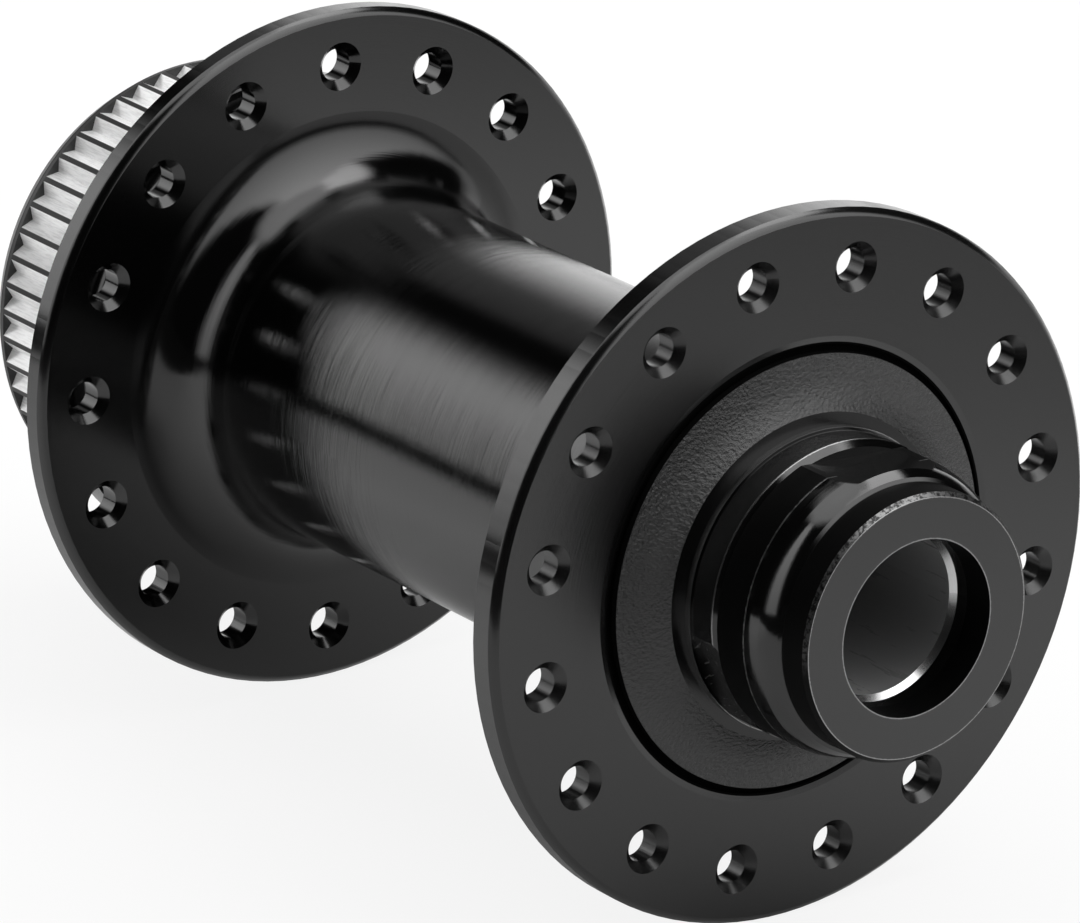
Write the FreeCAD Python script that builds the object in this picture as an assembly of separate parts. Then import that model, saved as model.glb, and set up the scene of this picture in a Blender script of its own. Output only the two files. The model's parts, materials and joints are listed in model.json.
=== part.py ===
import FreeCAD, Part
import math
import os

# A front disc-brake bicycle hub, taken apart into its real pieces.
# Millimetres. Y is the axle, +Y towards the rotor (the rider's left), +X
# forward, +Z up. The origin is midway between the two end faces.
# A station is a distance along the axle, counted outwards from the middle on
# either side. An inset is counted inwards from the end face of its own side.

LEFT, RIGHT = 1, -1

# Axle and end faces
width_over_locknuts = 100.0
thru_axle_d = 12.0
thru_axle_clearance = 0.05
axle_thread_d = 15.0
axle_waist_d = 14.4
axle_thread_length = 23.0
axle_end_inset = 3.6
axle_end_chamfer = 0.4
thread_clearance = 0.02

# Locknuts. The shoulder's diameters are given at each quarter of its length.
locknut_length = 8.3
locknut_d = 21.9
locknut_bore_d = 12.9
locknut_collar_length = 2.95
locknut_shoulder_length = 2.65
locknut_shoulder_ds = (21.72, 21.43, 20.94, 20.13)
locknut_step_length = 0.2
locknut_spigot_d = 19.56
locknut_edge = 0.3
left_locknut_nose = 1.05
left_locknut_nose_length = 1.45
locknut_flats = 20.0
locknut_flat_length = 4.9
locknut_flat_turn = 86.5

# Cones
cone_d = 22.1
cone_rim_d = 22.4
cone_rim_width = 0.5
cone_end_d = 21.2
cone_end_taper = 0.5
cone_flats = 20.0
cone_flat_turn = 33.0
cone_flat_length = 2.85
cone_nose = 2.2
cone_nose_chamfer = 0.3

# Ball tracks: 5/32 inch balls, seventeen a side, with no cage
ball_d = 3.969
ball_count = 17
ball_circle_d = 22.1
ball_clearance = 0.02
track_radius = 2.08
track_sweep = 75.0
contact_angle = 45.0
right_ball_inset = 16.2
left_ball_inset = 21.0

# Cups pressed into the shell
cup_d = 27.8
cup_outboard = 1.6
cup_inboard = 2.6
cup_corner = 1.2

# Dust caps pressed in over the balls
cap_d = 29.2
cap_bore_d = 22.2
cap_thickness = 0.4
cap_front = 2.5
cap_rim_width = 0.6

# Rubber seal rings on the cones
seal_seat_d = 21.14
seal_body_d = 23.2
seal_collar_d = 24.0
seal_collar_depth = 0.15
seal_back = 2.9
seal_lip_inset = 1.1
seal_lip_thickness = 0.3
seal_lip_gap = 0.15

# Dust covers, one with each cone
right_cover_d = 31.9
left_cover_d = 28.2
cover_gap = 0.5
cover_slope = 0.29
cover_hollow = 0.2
cover_thickness = 0.5
cover_station = 4.1
cone_rim_station = 4.6

# Hub shell
flange_d = 52.4
right_flange_inset = 13.55
right_flange_thickness = 2.8
left_flange_inset = 28.1
left_flange_thickness = 2.4
rim_bevel = 0.55
barrel_d = 26.9
right_fillet = 6.5
left_fillet = 4.9
shell_bore_d = 23.8
recess_bevel = 0.6
recess_bevel_depth = 0.12
recess_floor = 2.1

# Spoke holes: sixteen a flange, the left set turned by half a pitch
spoke_circle_d = 44.0
spoke_hole_d = 2.45
spoke_mouth_d = 3.7
rotor_side_mouth_d = 2.8
spokes_per_flange = 16
right_hole_turn = 9.7

# Rotor spline on the left end of the shell
spline_teeth = 52
spline_d = 35.2
spline_root_d = 33.7
spline_land = 0.3
spline_inset = 12.3
spline_turn = 116.8
rotor_seat_inset = 19.8
rotor_seat_d = 37.6
rotor_seat_width = 2.6
relief_width = 1.0
relief_undercut = 0.2
relief_d = 33.6
neck_d = 33.8
neck_flange_fillet = 2.2
neck_seat_fillet = 1.4

# Rotor lock ring and its washer
lock_thread_d = 30.0
lock_thread_length = 4.3
lock_lead_in = 0.5
lock_ring_thickness = 1.6
lock_ring_d = 35.0
lock_ring_top_d = 33.4
lock_ring_edge = 0.25
lock_ring_bore_chamfer = 0.3
lock_sleeve_length = 4.0
lock_sleeve_chamfer = 0.4
lock_sleeve_bore_d = 26.4
lock_ring_bore_d = 24.8
lock_notches = 12
lock_notch_width = 2.2
lock_notch_depth = 0.8
lock_washer_thickness = 0.3
lock_washer_clearance = 0.1

# Grease sleeve inside the barrel
sleeve_clearance = 0.05
sleeve_wall = 0.6

# How far a cutting shape runs past the face that it opens
cut_overrun = 0.5

half_width = width_over_locknuts / 2
axle_end = half_width - axle_end_inset
cone_end = half_width - locknut_length
right_ball_station = half_width - right_ball_inset
left_ball_station = half_width - left_ball_inset
right_flange_face = half_width - right_flange_inset
left_flange_face = half_width - left_flange_inset
rotor_seat = half_width - rotor_seat_inset
spline_end = half_width - spline_inset
ball_r = ball_d / 2
ball_circle_r = ball_circle_d / 2


def corner_arc(before, corner, after, radius):
    # the two tangent points and the mid point of a rounded corner
    a = before - corner
    b = after - corner
    a.normalize()
    b.normalize()
    half = math.acos(max(-1.0, min(1.0, a.dot(b)))) / 2
    reach = radius / math.tan(half)
    middle = a + b
    middle.normalize()
    centre = corner + middle * (radius / math.sin(half))
    return corner + a * reach, centre - middle * radius, corner + b * reach


def turned(outline, side=LEFT):
    # A ring turned about the axle. Each step of the outline is (r, y) for a
    # sharp corner, (r, y, radius) for a rounded one, and (r, y, r, y) for an
    # arc through the first point to the second.
    ends = []
    for step in outline:
        r, y = step[2:] if len(step) == 4 else step[:2]
        ends.append(FreeCAD.Vector(r, side * y, 0))
    count = len(outline)
    entry, exit_, bends = [], [], []
    for i, step in enumerate(outline):
        if len(step) == 3:
            start, mid, stop = corner_arc(ends[i - 1], ends[i], ends[(i + 1) % count], step[2])
            entry.append(start)
            exit_.append(stop)
            bends.append(Part.Arc(start, mid, stop).toShape())
        else:
            entry.append(ends[i])
            exit_.append(ends[i])
            bends.append(None)
    edges = []
    for i, step in enumerate(outline):
        start, stop = exit_[i - 1], entry[i]
        if len(step) == 4:
            through = FreeCAD.Vector(step[0], side * step[1], 0)
            edges.append(Part.Arc(start, through, stop).toShape())
        elif start.distanceToPoint(stop) > 1e-6:
            edges.append(Part.LineSegment(start, stop).toShape())
        if bends[i]:
            edges.append(bends[i])
    face = Part.Face(Part.Wire(edges))
    ring = face.revolve(FreeCAD.Vector(0, 0, 0), FreeCAD.Vector(0, 1, 0), 360)
    return ring if ring.Volume > 0 else ring.reversed()


def around(shape, count, first_turn):
    # copies of a shape set round the axle, turned from +X towards +Z
    copies = []
    for i in range(count):
        copy = shape.copy()
        turn = -(first_turn + 360.0 * i / count)
        copy.rotate(FreeCAD.Vector(0, 0, 0), FreeCAD.Vector(0, 1, 0), turn)
        copies.append(copy)
    return copies


def drum(radius, low, high):
    # a plain cylinder on the axle from one station to another
    return Part.makeCylinder(radius, high - low, FreeCAD.Vector(0, low, 0), FreeCAD.Vector(0, 1, 0))


def cut_flats(shape, across, turn, low, high):
    # two parallel spanner flats between two stations on the axle
    size = 2 * across
    for direction in (1, -1):
        block = Part.makeBox(size, high - low, size, FreeCAD.Vector(across / 2, low, -size / 2))
        if direction < 0:
            block.rotate(FreeCAD.Vector(0, 0, 0), FreeCAD.Vector(0, 1, 0), 180)
        block.rotate(FreeCAD.Vector(0, 0, 0), FreeCAD.Vector(0, 1, 0), -turn)
        shape = shape.cut(block)
    return shape


def span(side, inner, outer):
    # the low and high y of a stretch that lies between two outward distances
    return (inner, outer) if side > 0 else (-outer, -inner)


def track_arc(station, outboard_contact):
    # A ball track's arc on one side: the point on its wall, the contact point
    # and its end, as (r, distance).
    out = 1 if outboard_contact else -1
    offset = track_radius - ball_r - ball_clearance
    lean = math.radians(contact_angle)
    centre_r = ball_circle_r + out * offset * math.cos(lean)
    centre_y = station - out * offset * math.sin(lean)
    points = []
    for angle in (0, contact_angle, track_sweep):
        inward = track_radius * math.cos(math.radians(angle))
        along = track_radius * math.sin(math.radians(angle))
        points.append((centre_r - out * inward, centre_y + out * along))
    return points


def hub_axle():
    bore_r = thru_axle_d / 2 + thru_axle_clearance
    thread_r = axle_thread_d / 2
    waist_r = axle_waist_d / 2
    thread_start = axle_end - axle_thread_length
    slope = thread_r - waist_r
    return turned([
        (bore_r, -axle_end + axle_end_chamfer),
        (bore_r + axle_end_chamfer, -axle_end),
        (thread_r - axle_end_chamfer, -axle_end),
        (thread_r, -axle_end + axle_end_chamfer),
        (thread_r, -thread_start),
        (waist_r, -thread_start + slope),
        (waist_r, thread_start - slope),
        (thread_r, thread_start),
        (thread_r, axle_end - axle_end_chamfer),
        (thread_r - axle_end_chamfer, axle_end),
        (bore_r + axle_end_chamfer, axle_end),
        (bore_r, axle_end - axle_end_chamfer),
    ])


def locknut(side):
    # Threaded on the axle. A rounded shoulder and a small step run from the
    # collar down to the spigot that locates the hub in the fork. The left
    # spigot has a long lead-in.
    collar_r = locknut_d / 2
    spigot_r = locknut_spigot_d / 2
    collar_end = cone_end + locknut_collar_length
    shoulder_end = collar_end + locknut_shoulder_length
    first_r, middle_r, third_r, last_r = (d / 2 for d in locknut_shoulder_ds)
    quarter = locknut_shoulder_length / 4
    nose = left_locknut_nose if side == LEFT else locknut_edge
    nose_length = left_locknut_nose_length if side == LEFT else locknut_edge
    nut = turned([
        (axle_thread_d / 2 + thread_clearance, cone_end),
        (collar_r, cone_end),
        (collar_r, collar_end),
        (first_r, collar_end + quarter, middle_r, collar_end + 2 * quarter),
        (third_r, shoulder_end - quarter, last_r, shoulder_end),
        (spigot_r, shoulder_end + locknut_step_length),
        (spigot_r, half_width - nose_length),
        (spigot_r - nose, half_width),
        (locknut_bore_d / 2, half_width),
        (locknut_bore_d / 2, axle_end),
        (axle_thread_d / 2 + thread_clearance, axle_end),
    ], side)
    low, high = span(side, cone_end, cone_end + locknut_flat_length)
    return cut_flats(nut, locknut_flats, locknut_flat_turn, low, high)


def cone(side, station):
    # Ball track at the inner end, seat for the seal, a thin rim, and an outer
    # end with two spanner flats.
    wall, contact, top = track_arc(station, True)
    seat_r = seal_seat_d / 2
    rim = station + cone_rim_station
    body = turned([
        (axle_thread_d / 2 + thread_clearance, station - cone_nose),
        (wall[0] - cone_nose_chamfer, station - cone_nose),
        (wall[0], station - cone_nose + cone_nose_chamfer),
        wall,
        contact + top,
        (seat_r, top[1]),
        (seat_r, rim),
        (cone_rim_d / 2, rim),
        (cone_rim_d / 2, rim + cone_rim_width),
        (cone_d / 2, rim + cone_rim_width),
        (cone_d / 2, cone_end - cone_end_taper),
        (cone_end_d / 2, cone_end),
        (axle_thread_d / 2 + thread_clearance, cone_end),
    ], side)
    low, high = span(side, cone_end - cone_flat_length, cone_end)
    return cut_flats(body, cone_flats, cone_flat_turn, low, high)


def cup(side, station):
    wall, contact, top = track_arc(station, False)
    outer_r = cup_d / 2
    return turned([
        (top[0], station - cup_inboard),
        (outer_r - cup_corner, station - cup_inboard),
        (outer_r, station - cup_inboard + cup_corner),
        (outer_r, station + cup_outboard),
        (wall[0], station + cup_outboard),
        wall,
        contact + top,
    ], side)


def balls(side, station):
    ball = Part.makeSphere(ball_r, FreeCAD.Vector(ball_circle_r, side * station, 0))
    return around(ball, ball_count, 0.0)


def dust_cap(side, station):
    # A pressed ring that keeps the balls in the shell when the axle is out
    outer_r = cap_d / 2
    front = station + cap_front
    back = station + cup_outboard
    return turned([
        (outer_r - cap_rim_width, back),
        (outer_r, back),
        (outer_r, front),
        (cap_bore_d / 2, front),
        (cap_bore_d / 2, front - cap_thickness),
        (outer_r - cap_rim_width, front - cap_thickness),
    ], side)


def seal_ring(side, station):
    # A rubber ring on the cone. Its collar laps the dust cover and shows as the
    # smooth band inside it, and its lip runs close to the dust cap.
    seat_r = seal_seat_d / 2
    body_r = seal_body_d / 2
    collar_r = seal_collar_d / 2
    lip_r = cap_d / 2 - seal_lip_inset
    back = station + seal_back
    lip = station + cap_front + seal_lip_gap
    collar = station + cover_station
    return turned([
        (seat_r, back),
        (body_r, back),
        (lip_r, lip),
        (lip_r, lip + seal_lip_thickness),
        (body_r, back + seal_lip_thickness),
        (body_r, collar - seal_collar_depth),
        (collar_r, collar - seal_collar_depth),
        (collar_r, collar),
        (cone_rim_d / 2, station + cone_rim_station),
        (seat_r, station + cone_rim_station),
    ], side)


def dust_cover(side, station, diameter):
    # A shallow hollow cone over the bearing, held on the seal ring under its collar.
    # Its edge stands just clear of the shell.
    outer_r = diameter / 2
    bore_r = seal_body_d / 2
    collar_r = seal_collar_d / 2
    face = station + cover_station
    edge = face - cover_slope * (outer_r - collar_r)
    root = face + cover_slope * (collar_r - bore_r)
    return turned([
        (bore_r, root - cover_thickness),
        (outer_r, edge - cover_thickness),
        (outer_r, edge),
        ((outer_r + collar_r) / 2, (edge + face) / 2 - cover_hollow, collar_r, face),
        (collar_r, face - seal_collar_depth),
        (bore_r, face - seal_collar_depth),
    ], side)


def grease_sleeve():
    outer_r = shell_bore_d / 2 - sleeve_clearance
    low = -(right_ball_station - cup_inboard) + sleeve_clearance
    high = left_ball_station - cup_inboard - sleeve_clearance
    return drum(outer_r, low, high).cut(drum(outer_r - sleeve_wall, low, high))


def shell_blank():
    # the turned blank: flanges, barrel, rotor mount and the bores
    flange_r = flange_d / 2
    recess_r = right_cover_d / 2 + cover_gap
    recess = right_ball_station + recess_floor
    right_cup_back = right_ball_station - cup_inboard
    left_cup_back = left_ball_station - cup_inboard
    cup_r = cup_d / 2
    cap_r = cap_d / 2
    thread_r = lock_thread_d / 2
    right_back = right_flange_face - right_flange_thickness
    left_back = left_flange_face - left_flange_thickness
    return turned([
        (recess_r, -right_flange_face + recess_bevel_depth),
        (recess_r + recess_bevel, -right_flange_face),
        (flange_r - rim_bevel, -right_flange_face),
        (flange_r, -right_flange_face + rim_bevel),
        (flange_r, -right_back - rim_bevel),
        (flange_r - rim_bevel, -right_back),
        (barrel_d / 2, -right_back, right_fillet),
        (barrel_d / 2, left_back, left_fillet),
        (flange_r - rim_bevel, left_back),
        (flange_r, left_back + rim_bevel),
        (flange_r, left_flange_face - rim_bevel),
        (flange_r - rim_bevel, left_flange_face),
        (neck_d / 2, left_flange_face, neck_flange_fillet),
        (neck_d / 2, rotor_seat - rotor_seat_width, neck_seat_fillet),
        (rotor_seat_d / 2, rotor_seat - rotor_seat_width),
        (rotor_seat_d / 2, rotor_seat),
        (spline_d / 2 + relief_undercut, rotor_seat),
        (spline_d / 2 + relief_undercut, rotor_seat - relief_undercut),
        (relief_d / 2, rotor_seat - relief_undercut),
        (relief_d / 2, rotor_seat + relief_width),
        (spline_d / 2, rotor_seat + relief_width),
        (spline_d / 2, spline_end),
        (thread_r + lock_lead_in, spline_end),
        (thread_r, spline_end - lock_lead_in),
        (thread_r, spline_end - lock_thread_length),
        (cap_r, spline_end - lock_thread_length),
        (cap_r, left_ball_station + cup_outboard),
        (cup_r, left_ball_station + cup_outboard),
        (cup_r, left_cup_back + cup_corner),
        (cup_r - cup_corner, left_cup_back),
        (shell_bore_d / 2, left_cup_back),
        (shell_bore_d / 2, -right_cup_back),
        (cup_r - cup_corner, -right_cup_back),
        (cup_r, -right_cup_back - cup_corner),
        (cup_r, -right_ball_station - cup_outboard),
        (cap_r, -right_ball_station - cup_outboard),
        (cap_r, -recess),
        (recess_r, -recess),
    ])


def spoke_drill(low, high, high_mouth_d):
    # a drill that also opens a conical mouth at both faces of a flange
    centre_r = spoke_circle_d / 2
    hole_r = spoke_hole_d / 2
    along = FreeCAD.Vector(0, 1, 0)
    start = FreeCAD.Vector(centre_r, low - cut_overrun, 0)
    drill = Part.makeCylinder(hole_r, high - low + 2 * cut_overrun, start, along)
    mouths = []
    for face, out, mouth_d in ((low, -1, spoke_mouth_d), (high, 1, high_mouth_d)):
        sink = mouth_d / 2 - hole_r
        root = FreeCAD.Vector(centre_r, face - out * sink, 0)
        wide_r = mouth_d / 2 + cut_overrun
        mouths.append(Part.makeCone(hole_r, wide_r, sink + cut_overrun, root, along * out))
    return drill.multiFuse(mouths)


def spline_groove():
    # one V groove between two lands, drawn at +X
    crest_r = spline_d / 2
    root_r = spline_root_d / 2
    half_land = math.degrees(spline_land / 2 / crest_r)
    half_groove = math.radians(180.0 / spline_teeth - half_land)
    spill = 1.3
    wide_r = root_r + (crest_r - root_r) * spill
    wide_half = spill * crest_r * math.sin(half_groove)
    low = rotor_seat + relief_width / 2
    high = spline_end + cut_overrun
    points = [FreeCAD.Vector(root_r, low, 0), FreeCAD.Vector(wide_r, low, wide_half),
              FreeCAD.Vector(wide_r, low, -wide_half), FreeCAD.Vector(root_r, low, 0)]
    return Part.Face(Part.makePolygon(points)).extrude(FreeCAD.Vector(0, high - low, 0))


def hub_shell():
    shell = shell_blank()
    right_low, right_high = -right_flange_face, -right_flange_face + right_flange_thickness
    left_low, left_high = left_flange_face - left_flange_thickness, left_flange_face
    half_pitch = 180.0 / spokes_per_flange
    right_drill = spoke_drill(right_low, right_high, spoke_mouth_d)
    left_drill = spoke_drill(left_low, left_high, rotor_side_mouth_d)
    tools = around(right_drill, spokes_per_flange, right_hole_turn)
    tools += around(left_drill, spokes_per_flange, right_hole_turn + half_pitch)
    tools += around(spline_groove(), spline_teeth, spline_turn)
    return shell.cut(tools)


def lock_ring_washer():
    low, high = spline_end, spline_end + lock_washer_thickness
    bore_r = lock_thread_d / 2 + lock_washer_clearance
    return drum(spline_d / 2, low, high).cut(drum(bore_r, low, high))


def rotor_lock_ring():
    # a threaded sleeve with a thin flange, notched inside for the tool
    under = spline_end + lock_washer_thickness
    top = under + lock_ring_thickness
    sleeve_r = lock_thread_d / 2 - thread_clearance
    ring = turned([
        (lock_ring_bore_d / 2, top - lock_ring_bore_chamfer),
        (lock_ring_bore_d / 2 + lock_ring_bore_chamfer, top),
        (lock_ring_top_d / 2, top),
        (lock_ring_d / 2, under + lock_ring_edge),
        (lock_ring_d / 2, under),
        (sleeve_r, under),
        (sleeve_r, under - lock_sleeve_length + lock_sleeve_chamfer),
        (sleeve_r - lock_sleeve_chamfer, under - lock_sleeve_length),
        (lock_sleeve_bore_d / 2, under - lock_sleeve_length),
        (lock_sleeve_bore_d / 2, under),
        (lock_ring_bore_d / 2, under),
    ])
    reach = lock_ring_bore_d / 2 + lock_notch_depth
    start = FreeCAD.Vector(0, under - cut_overrun, -lock_notch_width / 2)
    notch = Part.makeBox(reach, lock_ring_thickness + 2 * cut_overrun, lock_notch_width, start)
    return ring.cut(around(notch, lock_notches, 0.0))


def build():
    parts = {
        "hub_shell": hub_shell(),
        "grease_sleeve": grease_sleeve(),
        "lock_ring_washer": lock_ring_washer(),
        "rotor_lock_ring": rotor_lock_ring(),
        "hub_axle": hub_axle(),
    }
    ends = (
        ("left", LEFT, left_ball_station, left_cover_d),
        ("right", RIGHT, right_ball_station, right_cover_d),
    )
    for name, side, station, cover_d in ends:
        parts[name + "_cup"] = cup(side, station)
        for i, ball in enumerate(balls(side, station)):
            parts["%s_ball_%02d" % (name, i + 1)] = ball
        parts[name + "_dust_cap"] = dust_cap(side, station)
        parts[name + "_cone"] = cone(side, station)
        parts[name + "_seal_ring"] = seal_ring(side, station)
        parts[name + "_dust_cover"] = dust_cover(side, station, cover_d)
        parts[name + "_locknut"] = locknut(side)
    return parts


def main():
    os.makedirs("parts", exist_ok=True)
    for name, shape in sorted(build().items()):
        shape.exportStep(os.path.join("parts", name + ".step"))
        box = shape.BoundBox
        print("%-18s solids %2d  volume %9.2f  y %7.2f to %7.2f  r %6.2f  valid %s" % (
            name, len(shape.Solids), shape.Volume, box.YMin, box.YMax, box.XMax, shape.isValid()))


main()
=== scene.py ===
import bpy
import json
import math
from mathutils import Matrix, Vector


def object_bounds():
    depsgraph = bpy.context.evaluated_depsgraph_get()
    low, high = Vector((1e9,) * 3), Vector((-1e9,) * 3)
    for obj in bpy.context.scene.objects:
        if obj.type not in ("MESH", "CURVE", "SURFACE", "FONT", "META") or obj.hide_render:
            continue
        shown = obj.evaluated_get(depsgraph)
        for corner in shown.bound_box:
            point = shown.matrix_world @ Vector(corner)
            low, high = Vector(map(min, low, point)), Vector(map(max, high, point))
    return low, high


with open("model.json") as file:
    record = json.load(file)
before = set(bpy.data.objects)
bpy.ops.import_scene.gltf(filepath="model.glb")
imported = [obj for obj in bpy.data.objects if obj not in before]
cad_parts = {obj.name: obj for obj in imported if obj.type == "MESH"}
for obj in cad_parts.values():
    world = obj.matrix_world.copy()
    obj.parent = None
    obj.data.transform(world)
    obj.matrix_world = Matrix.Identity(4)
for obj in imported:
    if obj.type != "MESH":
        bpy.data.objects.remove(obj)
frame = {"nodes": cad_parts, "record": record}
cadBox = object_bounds()
nodes = frame["nodes"]
print("frame:", len(nodes), "nodes")


class Wire:  # an output socket that takes part in sums
    def __init__(self, graph, socket):
        self.graph = graph
        self.socket = socket

    def __add__(self, other):
        return self.graph.maths("ADD", self, other)

    def __radd__(self, other):
        return self.graph.maths("ADD", other, self)

    def __sub__(self, other):
        return self.graph.maths("SUBTRACT", self, other)

    def __rsub__(self, other):
        return self.graph.maths("SUBTRACT", other, self)

    def __mul__(self, other):
        return self.graph.maths("MULTIPLY", self, other)

    def __rmul__(self, other):
        return self.graph.maths("MULTIPLY", other, self)

    def __pow__(self, other):
        return self.graph.maths("POWER", self, other)


class Graph:  # the nodes of one material, or of the world
    def __init__(self, owner):
        owner.use_nodes = True
        self.tree = owner.node_tree
        self.tree.nodes.clear()

    def feed(self, socket, value):
        if isinstance(value, Wire):
            self.tree.links.new(value.socket, socket)
        else:
            socket.default_value = value

    def node(self, kind, settings=None, sockets=None, output=0):
        made = self.tree.nodes.new("ShaderNode" + kind)
        for name, value in (settings or {}).items():
            setattr(made, name, value)
        for name, value in (sockets or {}).items():
            self.feed(made.inputs[name], value)
        return Wire(self, made.outputs[output]) if made.outputs else made

    def maths(self, operation, *values):
        return self.node("Math", {"operation": operation}, dict(enumerate(values)))

    def rise(self, value, low, high):  # 0 below low, 1 above high
        return self.node("MapRange", {"interpolation_type": "SMOOTHSTEP"},
                         {"Value": value, "From Min": low, "From Max": high})

    def band(self, value, low, high, soft, softEnd=None):  # 1 between low and high
        softEnd = soft if softEnd is None else softEnd
        return self.rise(value, low - soft, low + soft) * (1 - self.rise(value, high - softEnd, high + softEnd))

    def blend(self, factor, first, second):  # two colours
        return self.node("Mix", {"data_type": "RGBA"}, {0: factor, 6: first, 7: second}, 2)

    def tones(self, factor, low, high):  # two greys
        return self.blend(factor, grey(low), grey(high))

    def layer(self, factor, under, over):  # two shaders
        return self.node("MixShader", None, {0: factor, 1: under, 2: over})

    def join(self, x, y, z):
        return self.node("CombineXYZ", None, {0: x, 1: y, 2: z})

    def noise(self, vector, scale, detail=2.0, rough=0.5):
        return self.node("TexNoise", None, {"Vector": vector, "Scale": scale, "Detail": detail, "Roughness": rough})


class Finish(Graph):  # a material that knows its place on the hub, in millimetres
    def __init__(self, name):
        self.material = bpy.data.materials.new(name)
        super().__init__(self.material)
        place = self.node("TexCoord", None, None, 3)
        self.point = self.node("VectorMath", {"operation": "SCALE"}, {0: place, "Scale": 1000.0})
        self.x = self.node("SeparateXYZ", None, {0: self.point}, 0)
        self.y = Wire(self, self.x.socket.node.outputs[1])
        self.z = Wire(self, self.x.socket.node.outputs[2])
        self.r = (self.x * self.x + self.z * self.z) ** 0.5
        self.turn = self.maths("ARCTAN2", self.z, self.x)
        self.side = self.maths("ABSOLUTE", self.y)

    def lathe(self, across, pitch, wander=0.6):  # rings left by a tool, across is r or y
        return self.noise(self.join(across * (1 / pitch), self.turn * wander, 0.0), 1.0, 3.0, 0.6)

    def bump(self, height, depth, strength=1.0, normal=None):  # depth in millimetres
        sockets = {"Height": height, "Distance": depth / 1000, "Strength": strength}
        if normal:
            sockets["Normal"] = normal
        return self.node("Bump", None, sockets)

    def shader(self, **sockets):
        return self.node("BsdfPrincipled", None, {k.replace("_", " "): v for k, v in sockets.items()})

    def paintedShade(self, pattern):  # painted shade: nearly black, with no gloss, for recesses and side walls where shade falls
        return self.shader(Base_Color=self.tones(pattern, 0.001, 0.003), Roughness=0.9, Specular_IOR_Level=0.02)

    def close(self, shader):
        self.node("OutputMaterial", None, {"Surface": shader})
        return self.material


def grey(level):
    return (level, level, level, 1.0)


# Hub shell: black anodised, polished barrel, satin flanges, spline cut bare through the black. The near flange's face
# has painted light, a lighter black than the far face, and the recess round the dust cover is painted shade.
shellLook = {
    "black": 0.0008,
    "nearPaintedLight": 0.0025,
    "index": 1.6,
    "polished": 0.09,
    "satin": 0.16,
    "nearSatin": 0.1,
    "satinFrom": 14.4,
    "satinTo": 18.5,
    "ringPitch": 0.07,
    "barrelRings": 0.0095,
    "faceRings": 0.0025,
    "nearRings": 0.003,
    "rimRadius": 25.65,
    "rimMiddle": 25.93,
    "rimRound": 0.9,
    "rim": 0.16,
    "nearFace": (-20.0, -10.0),
    "gapRadius": 16.6,
    "gapDepth": -36.38,
    "gapFloor": (-30.0, -29.0),
    "splineStart": 31.0,
    "landRadius": 17.56,
    "bareMetal": 0.97,
    "bareMetallic": 0.5,
    "bareRough": 0.42,
    "landGrey": 0.03,
    "landRough": 0.45,
    "landIndex": 1.3,
}


def anodisedShell():
    f = Finish("anodisedShell")
    look = shellLook
    satin = f.rise(f.r, look["satinFrom"], look["satinTo"])
    rim = f.rise(f.r, look["rimRadius"] - 0.02, look["rimRadius"] + 0.02)
    fine = f.lathe(f.y, look["ringPitch"])
    coarse = f.lathe(f.y, 0.2)
    faceRings = f.lathe(f.r, look["ringPitch"])
    speck = f.noise(f.point, 9.0, 3.0, 0.6)
    near = 1 - f.rise(f.y, *look["nearFace"])
    rough = look["polished"] + (look["satin"] + look["nearSatin"] * near - look["polished"]) * satin
    rough = rough + (fine - 0.5) * 0.05 * (1 - satin) + (speck - 0.5) * 0.05 * satin
    rough = rough + (look["rim"] - rough) * rim
    rings = (fine * 0.85 + coarse * 0.15) * look["barrelRings"]
    faceMarks = faceRings * (look["faceRings"] + look["nearRings"] * near) + speck * 0.001
    onRim = f.maths("MAXIMUM", f.r, look["rimRadius"]) - look["rimMiddle"]
    lip = onRim * onRim * -look["rimRound"]
    normal = f.bump(rings * (1 - satin) + faceMarks * satin + lip, 1.0)
    # painted light: the near flange's face is given a lighter black than the far flange's face, which lies in the near
    # flange's shade
    base = f.tones(satin * near, look["black"], look["nearPaintedLight"])
    black = f.shader(Base_Color=base, Roughness=rough, IOR=look["index"], Normal=normal)
    bare = f.rise(f.y, look["splineStart"], look["splineStart"] + 0.1)
    bare = bare * (1 - f.rise(f.r, look["landRadius"], look["landRadius"] + 0.03))
    streak = f.noise(f.join(f.turn * 120.0, f.y * 0.7, f.r * 6.0), 1.0, 4.0, 0.6)
    metal = f.shader(Base_Color=f.tones(f.rise(streak, 0.3, 0.6), look["bareMetal"] * 0.8, look["bareMetal"]),
                     Metallic=look["bareMetallic"], Roughness=look["bareRough"] + (streak - 0.5) * 0.12,
                     Normal=f.bump(streak, 0.004))
    land = f.shader(Base_Color=f.tones(speck, look["landGrey"] * 0.8, look["landGrey"] * 1.2),
                    Roughness=look["landRough"] + (speck - 0.5) * 0.1, IOR=look["landIndex"])
    onLand = f.rise(f.y, look["splineStart"] - 0.05, look["splineStart"])
    coat = f.layer(bare, f.layer(onLand, black, land), metal)
    # painted shade: the recess round the dust cover, inside gapRadius and between gapDepth and gapFloor, is painted
    # near black
    gap = f.rise(f.y, look["gapDepth"], look["gapDepth"] + 0.02) * (1 - f.rise(f.y, *look["gapFloor"]))
    gap = gap * (1 - f.rise(f.r, look["gapRadius"], look["gapRadius"] + 0.02))
    return f.close(f.layer(gap, coat, f.paintedShade(speck)))


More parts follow.
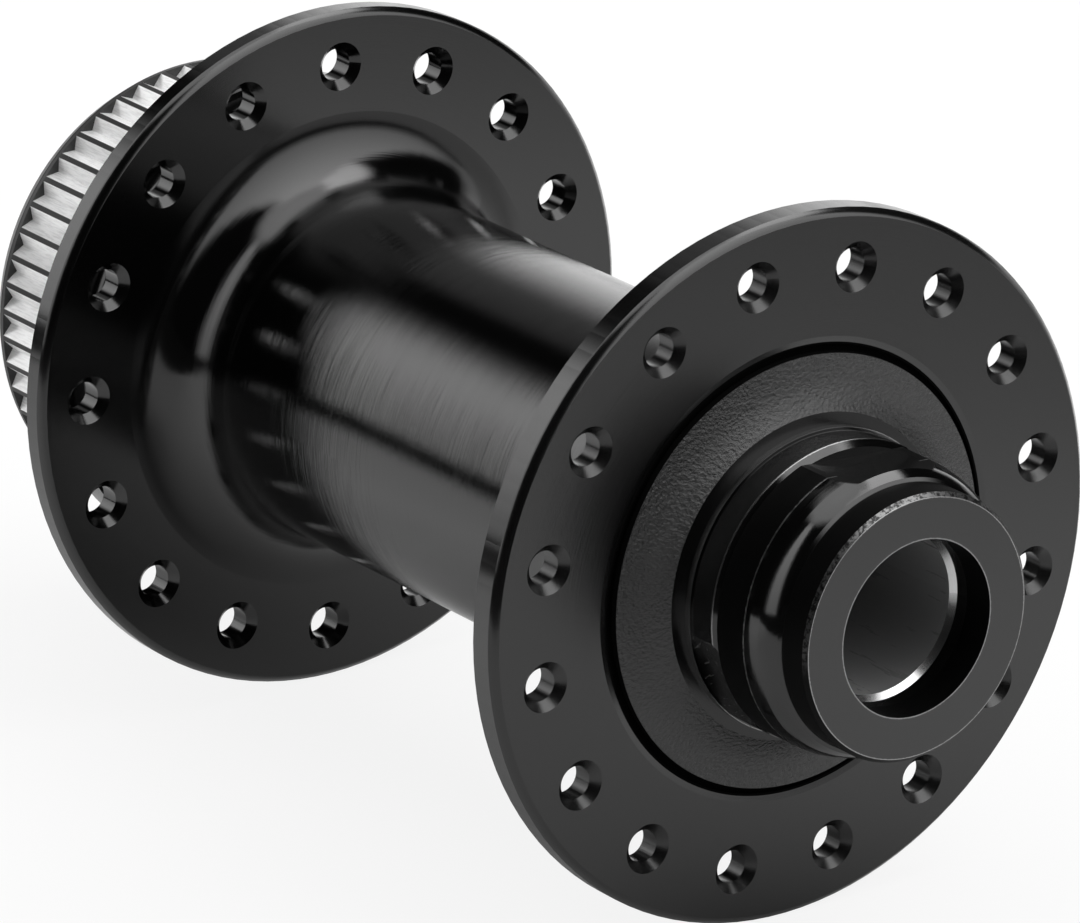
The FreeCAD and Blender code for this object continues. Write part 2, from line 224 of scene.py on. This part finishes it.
# Locknuts: blackened steel with edges worn bright, and worn specks on top of the end chamfer that are painted
# highlight. Ends and starts are along the axle, in millimetres.
nutLook = {
    "black": 0.0012,
    "index": 1.6,
    "rough": 0.09,
    "faceRough": 0.34,
    "faceGrey": 0.009,
    "dullGrey": (0.0005, 0.0015),
    "dullRough": 0.45,
    "dullGloss": 0.09,
    "outer": 50.0,
    "collar": (41.2, 44.65),
    "collarRadius": 10.7,
    "spigotStart": 47.45,
    "spigotRadius": 9.78,
    "mouthRadius": 6.5,
    "flatTurn": 86.5,
    "flatAcross": 10.0,
    "flatEnd": 46.55,
    "flatRadius": 9.9,
    "scuffed": (41.4, 42.6),
    "rimWorn": 0.55,
    "mouthWorn": 0.45,
    "scuffWorn": 0.16,
    "worn": 0.62,
    "wornRough": 0.3,
}


def locknutSteel():
    f = Finish("locknutSteel")
    look = nutLook
    outer, spigot = look["outer"], look["spigotRadius"]
    collarStart, collarEnd = look["collar"]
    grain = f.noise(f.point, 7.0, 4.0, 0.65)
    speck = f.noise(f.point, 3.0, 5.0, 0.7)
    rings = f.lathe(f.r, 0.04)
    face = f.rise(f.side, outer - 0.03, outer - 0.005)
    ragged = (grain - 0.5) * 0.16
    rim = face * f.rise(f.r + ragged, spigot - 0.38, spigot - 0.33) * look["rimWorn"]
    # painted highlight: worn specks on the end chamfer are shown only on its upper side, where the light catches it
    topWearAndGlint = f.rise(f.z + f.x * -0.3, 1.0, 7.0) * f.rise(f.side, outer - 0.33, outer - 0.28)
    topWearAndGlint = topWearAndGlint * f.rise(f.r, spigot - 0.48, spigot - 0.38)
    rim = rim + topWearAndGlint * (1 - face) * (0.05 + 0.3 * f.rise(speck, 0.42, 0.58))
    mouth = face * (1 - f.rise(f.r - ragged, look["mouthRadius"], look["mouthRadius"] + 0.06)) * look["mouthWorn"]
    edge = f.band(f.side + (speck - 0.5) * 0.12, collarEnd - 0.07, collarEnd + 0.05, 0.03)
    edge = edge * f.rise(f.r, look["collarRadius"] - 0.1, look["collarRadius"]) * (0.4 + 0.6 * f.rise(speck, 0.42, 0.6))
    turned = math.radians(look["flatTurn"])
    across = f.maths("ABSOLUTE", f.x * math.cos(turned) + f.z * math.sin(turned))
    flat = f.band(across, look["flatAcross"] - 0.04, look["flatAcross"] + 0.04, 0.01)
    flat = flat * (1 - f.rise(f.side, look["flatEnd"], look["flatEnd"] + 0.05))
    flat = flat * f.rise(f.r, look["flatRadius"], look["flatRadius"] + 0.05)
    scratch = f.noise(f.join(f.x * 0.5 + f.z * 0.2, f.y * 9.0, f.z * 0.6), 1.0, 5.0, 0.7)
    scuff = flat * (1 - f.rise(f.side, *look["scuffed"])) * f.rise(scratch, 0.56, 0.62) * look["scuffWorn"]
    # worn holds real wear and the painted highlight on top of the chamfer
    worn = f.maths("MINIMUM", rim + mouth + edge + scuff, 1.0)
    rough = look["rough"] + (look["faceRough"] - look["rough"]) * face + (grain - 0.5) * 0.12
    normal = f.bump(rings * 0.5 + grain * 0.5, 0.003)
    black = f.shader(Base_Color=f.tones(face, look["black"], look["faceGrey"]), Roughness=rough, IOR=look["index"],
                     Normal=normal)
    dull = f.shader(Base_Color=f.tones(speck, *look["dullGrey"]), Roughness=look["dullRough"] + (speck - 0.5) * 0.1,
                    Specular_IOR_Level=look["dullGloss"], Normal=normal)
    spigotSide = f.rise(f.side, look["spigotStart"], look["spigotStart"] + 0.05) * (1 - face)
    collarSide = f.band(f.side, collarStart, collarEnd, 0.05)
    collarSide = collarSide * f.rise(f.r, look["collarRadius"], look["collarRadius"] + 0.05)
    plain = f.layer(spigotSide + collarSide * 0.9 + flat * 0.7, black, dull)
    metal = f.shader(Base_Color=f.tones(grain, look["worn"] * 0.6, look["worn"]), Metallic=1.0,
                     Roughness=look["wornRough"] + (speck - 0.5) * 0.2, Normal=f.bump(grain, 0.01))
    return f.close(f.layer(worn, plain, metal))


# Cones: blackened steel outside, ground bright on the ball track
coneLook = {
    "black": 0.0015,
    "index": 1.6,
    "rough": 0.1,
    "flatRough": 0.2,
    "worn": 0.5,
    "brightRough": 0.25,
    "rimRadius": 11.13,
    "rimStart": 32.0,
    "rimWorn": 0.7,
    "endEdge": (41.1, 41.24),
    "endWorn": 0.6,
    "flat": (38.8, 41.15),
    "flatRadius": 10.95,
    "scratchWorn": 0.35,
    "trackRadius": 10.56,
    "trackEnd": 38.7,
    "flatLow": 9.5,
    "trackStart": 30.0,
}


def coneSteel():
    f = Finish("coneSteel")
    look = coneLook
    grain = f.noise(f.point, 6.0, 4.0, 0.65)
    rings = f.lathe(f.y, 0.05)
    rimLine = f.rise(f.r + (grain - 0.5) * 0.06, look["rimRadius"], look["rimRadius"] + 0.05)
    rimLine = rimLine * f.rise(f.side, look["rimStart"], look["rimStart"] + 0.2)
    endEdge = f.band(f.side + (grain - 0.5) * 0.1, *look["endEdge"], 0.03)
    endEdge = endEdge * f.rise(f.r, look["flatRadius"] - 0.05, look["flatRadius"])
    flat = (1 - f.rise(f.r, look["flatRadius"], look["flatRadius"] + 0.05)) * f.band(f.side, *look["flat"], 0.05)
    scratch = f.noise(f.join(f.z * 0.7, f.y * 7.0 + f.z * 2.5, f.x), 1.0, 4.0, 0.7)
    scratch = f.rise(scratch, 0.6, 0.66) * flat
    behind = f.rise(f.side, look["trackEnd"], look["trackEnd"] + 0.05)
    behind = behind * f.rise(f.r, look["flatLow"], look["flatLow"] + 0.1)
    outside = f.maths("MAXIMUM", f.rise(f.r, look["trackRadius"], look["trackRadius"] + 0.02), behind)
    track = 1 - outside * f.rise(f.side, look["trackStart"], look["trackStart"] + 0.1)
    worn = rimLine * look["rimWorn"] + endEdge * look["endWorn"] + scratch * look["scratchWorn"]
    worn = f.maths("MINIMUM", worn, 1.0)
    rough = look["rough"] + (grain - 0.5) * 0.1 + (look["flatRough"] - look["rough"]) * flat
    black = f.shader(Base_Color=grey(look["black"]), Roughness=rough, IOR=look["index"],
                     Normal=f.bump(rings * 0.6 + grain * 0.4, 0.003))
    metal = f.shader(Base_Color=f.tones(grain, look["worn"] * 0.7, look["worn"]), Metallic=1.0,
                     Roughness=look["brightRough"] + (rings - 0.5) * 0.1 + flat * 0.5, Normal=f.bump(grain, 0.004))
    return f.close(f.layer(f.maths("MAXIMUM", worn, track), black, metal))


# Dust covers: grained rubber, hollowed towards the seal ring, with painted shade on the side wall
coverLook = {
    "black": 0.0025,
    "index": 1.65,
    "rough": 0.18,
    "grain": 0.29,
    "depth": 0.1,
    "edge": 15.88,
    "hollow": 0.085,
    "hollowFrom": 14.2,
}


def coverRubber():
    f = Finish("coverRubber")
    look = coverLook
    cells = f.node("TexVoronoi", {"feature": "SMOOTH_F1"},
                   {"Vector": f.point, "Scale": 1 / look["grain"], "Smoothness": 0.6})
    fold = f.noise(f.point, 2.2 / look["grain"], 4.0, 0.6)
    inward = f.maths("MAXIMUM", look["hollowFrom"] - f.r, 0.0)
    height = (cells * 0.6 + fold * 0.8) * look["depth"] + inward * inward * look["hollow"]
    rubber = f.shader(Base_Color=f.tones(fold, look["black"] * 0.7, look["black"] * 1.3),
                      Roughness=look["rough"] + (fold - 0.5) * 0.15, IOR=look["index"], Normal=f.bump(height, 1.0))
    # painted shade: the side wall beyond the edge radius is painted near black for the shade in the gap beside the
    # flange
    edge = f.rise(f.r, look["edge"], look["edge"] + 0.05)
    return f.close(f.layer(edge, rubber, f.paintedShade(fold)))


# Seal rings: smooth rubber. The collar's rounded face reflects as if it leaned to face along the axle.
sealLook = {"black": 0.0015, "index": 1.48, "rough": 0.2, "collarRadius": 11.15, "collarStart": 28.0, "lean": 0.9}


def sealRubber():
    f = Finish("sealRubber")
    look = sealLook
    fold = f.noise(f.point, 4.0, 3.0, 0.6)
    rings = f.lathe(f.r, 0.05)
    collar = f.rise(f.r, look["collarRadius"], look["collarRadius"] + 0.05)
    collar = collar * f.rise(f.side, look["collarStart"], look["collarStart"] + 0.1)
    flat = f.join(0.0, f.maths("SIGN", f.y), 0.0)
    curved = f.node("NewGeometry", None, None, "Normal")
    lean = f.node("Mix", {"data_type": "VECTOR"}, {0: collar * look["lean"], 4: curved, 5: flat}, 1)
    return f.close(f.shader(Base_Color=f.tones(fold, look["black"] * 0.8, look["black"] * 1.2),
                            Roughness=look["rough"] + (fold - 0.5) * 0.1, IOR=look["index"],
                            Normal=f.bump(rings * 0.5 + fold * 0.5, 0.004, 1.0, lean)))


# Axle: dark anodised tube, bright where its ends were chamfered
axleLook = {
    "dark": 0.24,
    "index": 1.6,
    "rough": 0.3,
    "bright": 0.62,
    "brightRough": 0.2,
    "end": 46.4,
    "chamfer": 0.4,
    "threadRadius": 7.0,
    "threadPitch": 1.0,
}


def axleAlloy():
    f = Finish("axleAlloy")
    look = axleLook
    drawn = f.noise(f.join(f.turn * 9.0, f.y * 0.12, f.r), 1.0, 5.0, 0.6)
    scratch = f.noise(f.join(f.turn * 2.0 + f.y * 0.2, f.y * 6.0, 0.0), 1.0, 4.0, 0.7)
    chamferStart = look["end"] - look["chamfer"]
    end = f.rise(f.side, chamferStart - 0.02, chamferStart + 0.02)
    thread = f.maths("SINE", f.y * (2 * math.pi / look["threadPitch"]))
    thread = thread * f.rise(f.r, look["threadRadius"], look["threadRadius"] + 0.2)
    rough = look["rough"] + (drawn - 0.5) * 0.2 + f.rise(scratch, 0.6, 0.66) * 0.12
    dark = f.shader(Base_Color=grey(look["dark"]), Roughness=rough, IOR=look["index"],
                    Normal=f.bump(thread + drawn * 0.05, 0.05, 0.6))
    metal = f.shader(Base_Color=f.tones(drawn, look["bright"] * 0.85, look["bright"]), Metallic=1.0,
                     Roughness=look["brightRough"] + (drawn - 0.5) * 0.1)
    return f.close(f.layer(end, dark, metal))


# Lock ring: black anodised
ringLook = {"grey": (0.012, 0.02), "rough": 0.36, "index": 1.32}


def lockRingAlloy():
    f = Finish("lockRingAlloy")
    look = ringLook
    rings = f.lathe(f.r, 0.06)
    speck = f.noise(f.point, 5.0, 3.0, 0.6)
    return f.close(f.shader(Base_Color=f.tones(speck, *look["grey"]), Roughness=look["rough"] + (speck - 0.5) * 0.1,
                            IOR=look["index"], Normal=f.bump(rings * 0.7 + speck * 0.3, 0.004)))


# Washer: blackened steel
washerLook = {"grey": (0.03, 0.05), "rough": 0.4, "index": 1.4}


def washerSteel():
    f = Finish("washerSteel")
    look = washerLook
    speck = f.noise(f.point, 4.0, 3.0, 0.6)
    return f.close(f.shader(Base_Color=f.tones(speck, *look["grey"]), Roughness=look["rough"] + (speck - 0.5) * 0.2,
                            IOR=look["index"], Normal=f.bump(speck, 0.004)))


# Bearing steel inside. Pitch is the spacing of the grinding marks, in millimetres.
cupLook = {"level": 0.62, "rough": 0.2, "pitch": 0.04}
ballLook = {"level": 0.82, "rough": 0.06, "pitch": 0.5}
capLook = {"level": 0.5, "rough": 0.3, "pitch": 0.08}


def groundSteel(name, look):
    f = Finish(name)
    rings = f.lathe(f.y + f.r, look["pitch"])
    speck = f.noise(f.point, 3.0, 3.0, 0.6)
    return f.close(f.shader(Base_Color=f.tones(rings, look["level"] * 0.85, look["level"]), Metallic=1.0,
                            Roughness=look["rough"] + (speck - 0.5) * look["rough"], Normal=f.bump(rings, 0.002)))


# Grease sleeve: pale moulded plastic
sleeveLook = {"grey": (0.5, 0.6), "rough": 0.5}


def sleevePlastic():
    f = Finish("sleevePlastic")
    look = sleeveLook
    flow = f.noise(f.join(f.turn, f.y * 0.1, f.r), 2.0, 3.0, 0.6)
    return f.close(f.shader(Base_Color=f.tones(flow, *look["grey"]), Roughness=look["rough"] + (flow - 0.5) * 0.2,
                            Normal=f.bump(flow, 0.01)))


finishes = {
    "anodised_shell": anodisedShell(),
    "locknut_alloy": locknutSteel(),
    "cone_steel": coneSteel(),
    "cover_rubber": coverRubber(),
    "seal_rubber": sealRubber(),
    "axle_alloy": axleAlloy(),
    "lock_ring": lockRingAlloy(),
    "washer_steel": washerSteel(),
    "bearing_steel": groundSteel("cupSteel", cupLook),
    "ball_steel": groundSteel("ballSteel", ballLook),
    "cap_steel": groundSteel("capSteel", capLook),
    "sleeve_plastic": sleevePlastic(),
}
for part in frame["record"]["subparts"]:
    slots = nodes[part["node"]].data.materials
    slots.clear()
    slots.append(finishes[part["material_slot"]])
print("finishes:", len(finishes))

# Camera: the photograph's, solved from the hub's own circles
cameraLook = {
    "place": (-0.359244, -0.492605, 0.225878),
    "heading": -36.40,
    "tilt": 69.384,
    "roll": 0.299,
    "lens": 297.31,
    "shift": (0.00747, 0.00580),
}

heading = math.radians(cameraLook["heading"])
away = (-math.sin(heading), math.cos(heading), 0.0)  # level, from the camera to the hub
leftward = (-math.cos(heading), -math.sin(heading), 0.0)


def makeCamera():
    data = bpy.data.cameras.new("camera")
    data.lens = cameraLook["lens"]
    data.shift_x, data.shift_y = cameraLook["shift"]
    data.clip_start, data.clip_end = 0.01, 10.0
    camera = bpy.data.objects.new("camera", data)
    bpy.context.scene.collection.objects.link(camera)
    turned = Matrix.Rotation(heading, 4, "Z")
    turned = turned @ Matrix.Rotation(math.radians(cameraLook["tilt"]), 4, "X")
    turned = turned @ Matrix.Rotation(math.radians(cameraLook["roll"]), 4, "Z")
    camera.matrix_world = Matrix.Translation(cameraLook["place"]) @ turned
    bpy.context.scene.camera = camera


makeCamera()

# Studio: soft boxes round the hub. A bearing is counted from straight behind the hub, as the camera sees it,
# towards the left; a height is above the horizon, both in degrees. Soft is the half width of the four edges: right,
# left, bottom, top. Glow is the light at the bottom and at the top.
softBoxes = {
    "rearLeft": {"bearing": (55, 78), "height": (-3, 38), "soft": (12, 2.5, 2, 5), "glow": (1.8, 2.6)},
    "left": {"bearing": (118, 140), "height": (-3, 64), "soft": (3, 3, 2, 5), "glow": (1.2, 2.7)},
    "frontRight": {"bearing": (-152, -79), "height": (4, 78), "soft": (6, 6, 6, 6), "glow": (1.3, 3.6)},
    "right": {"bearing": (-84, -32), "height": (-16, 5), "soft": (3, 3, 3, 3), "glow": (0.7, 0.9)},
    "upperRight": {"bearing": (-84, -30), "height": (48, 72), "soft": (3, 3, 3, 3), "glow": (4.0, 5.0)},
    "rearRight": {"bearing": (-30, 12), "height": (-16, 27), "soft": (4, 8, 4, 14), "glow": (1.5, 1.6)},
    "rearRightHigh": {"bearing": (-36, 6), "height": (44, 62), "soft": (4, 4, 4, 4), "glow": (1.6, 2.0)},
    "rear": {"bearing": (4, 30), "height": (22, 42), "soft": (4, 4, 4, 4), "glow": (0.26, 0.26)},
    "above": {"bearing": (-200, 200), "height": (64, 95), "soft": (4, 4, 4, 4), "glow": (2.0, 2.4)},
}
studioDark = 0.01


def makeWorld():
    world = bpy.data.worlds.new("studio")
    bpy.context.scene.world = world
    g = Graph(world)
    ray = g.node("TexCoord", None, None, 0)
    onAway = g.node("VectorMath", {"operation": "DOT_PRODUCT"}, {0: ray, 1: away}, 1)
    onLeft = g.node("VectorMath", {"operation": "DOT_PRODUCT"}, {0: ray, 1: leftward}, 1)
    up = g.node("SeparateXYZ", None, {0: ray}, 2)
    bearing = g.maths("ARCTAN2", onLeft, onAway) * (180 / math.pi)
    height = g.maths("ARCSINE", up) * (180 / math.pi)
    glow = studioDark
    for box in softBoxes.values():
        bottom, top = box["height"]
        side = g.band(bearing, *box["bearing"], *box["soft"][:2])
        level = g.node("MapRange", None, {"Value": height, "From Min": bottom, "From Max": top,
                                          "To Min": box["glow"][0], "To Max": box["glow"][1]})
        lit = side * g.band(height, bottom, top, *box["soft"][2:]) * level
        glow = g.maths("MAXIMUM", glow, lit)
    seen = g.node("LightPath", None, None, "Is Camera Ray")
    strength = glow + (1 - glow) * seen
    light = g.node("Background", None, {"Color": grey(1.0), "Strength": strength})
    g.node("OutputWorld", None, {"Surface": light})


makeWorld()

# Floor: white to the camera with the hub's soft shadow. In reflections it is a pale table that ends in front and on the
# left, in millimetres from the hub. Its colour there is painted shade, darker in front and far to the right, with
# painted fill light.
floorLook = {
    "metres": 3.0,
    "colour": 0.85,
    "front": 130.0,
    "left": 235.0,
    "dim": 0.72,
    "paintedFill": 0.34,
    "right": (95.0, 155.0),
    "far": 0.55,
    "shadow": 0.13,
}


def makeFloor():
    size = floorLook["metres"]
    mesh = bpy.data.meshes.new("floor")
    low = cadBox[0].z
    corners = [(-size, -size, low), (size, -size, low), (size, size, low), (-size, size, low)]
    mesh.from_pydata(corners, [], [(0, 1, 2, 3)])
    floor = bpy.data.objects.new("floor", mesh)
    bpy.context.scene.collection.objects.link(floor)
    g = Finish("floor")
    depth = g.node("VectorMath", {"operation": "DOT_PRODUCT"}, {0: g.point, 1: away}, 1)
    left = g.node("VectorMath", {"operation": "DOT_PRODUCT"}, {0: g.point, 1: leftward}, 1)
    front, end = floorLook["front"], floorLook["left"]
    onCard = g.rise(depth, -front - 6, -front + 6) * (1 - g.rise(left, end - 10, end + 10))
    # painted shade: the card is darker in front of the hub and far to its right, lighter behind it on either side
    bright = g.maths("MAXIMUM", g.rise(depth * 0.6 + left, 0.0, 60.0), g.rise(depth * 0.6 - left, 0.0, 70.0))
    near = g.tones(bright, floorLook["colour"] * floorLook["dim"], floorLook["colour"])
    fade = g.rise(0 - left, *floorLook["right"])
    colour = g.blend(fade, near, grey(floorLook["colour"] * floorLook["far"]))
    camera = g.node("LightPath", None, None, "Is Camera Ray")
    glossy = g.node("LightPath", None, None, "Is Glossy Ray")
    card = g.node("BsdfDiffuse", None, {"Color": colour})
    white = g.node("Emission", None, {"Color": grey(1.0), "Strength": 1.0})
    dark = g.node("BsdfDiffuse", None, {"Color": grey(0.02)})
    # painted light: glossy rays see the card mixed with white glow, strongest to the left and behind the hub, which
    # lifts its shade
    paintedFill = glossy * floorLook["paintedFill"] * g.rise(depth * 0.6 + left, -15.0, 35.0)
    shown = g.layer(glossy * (1 - onCard), g.layer(paintedFill, card, white), dark)
    g.close(g.layer(camera * (1 - floorLook["shadow"]), shown, white))
    mesh.materials.append(g.material)


makeFloor()
bpy.context.scene.view_settings.view_transform = "Standard"
print("studio:", len(softBoxes), "soft boxes")
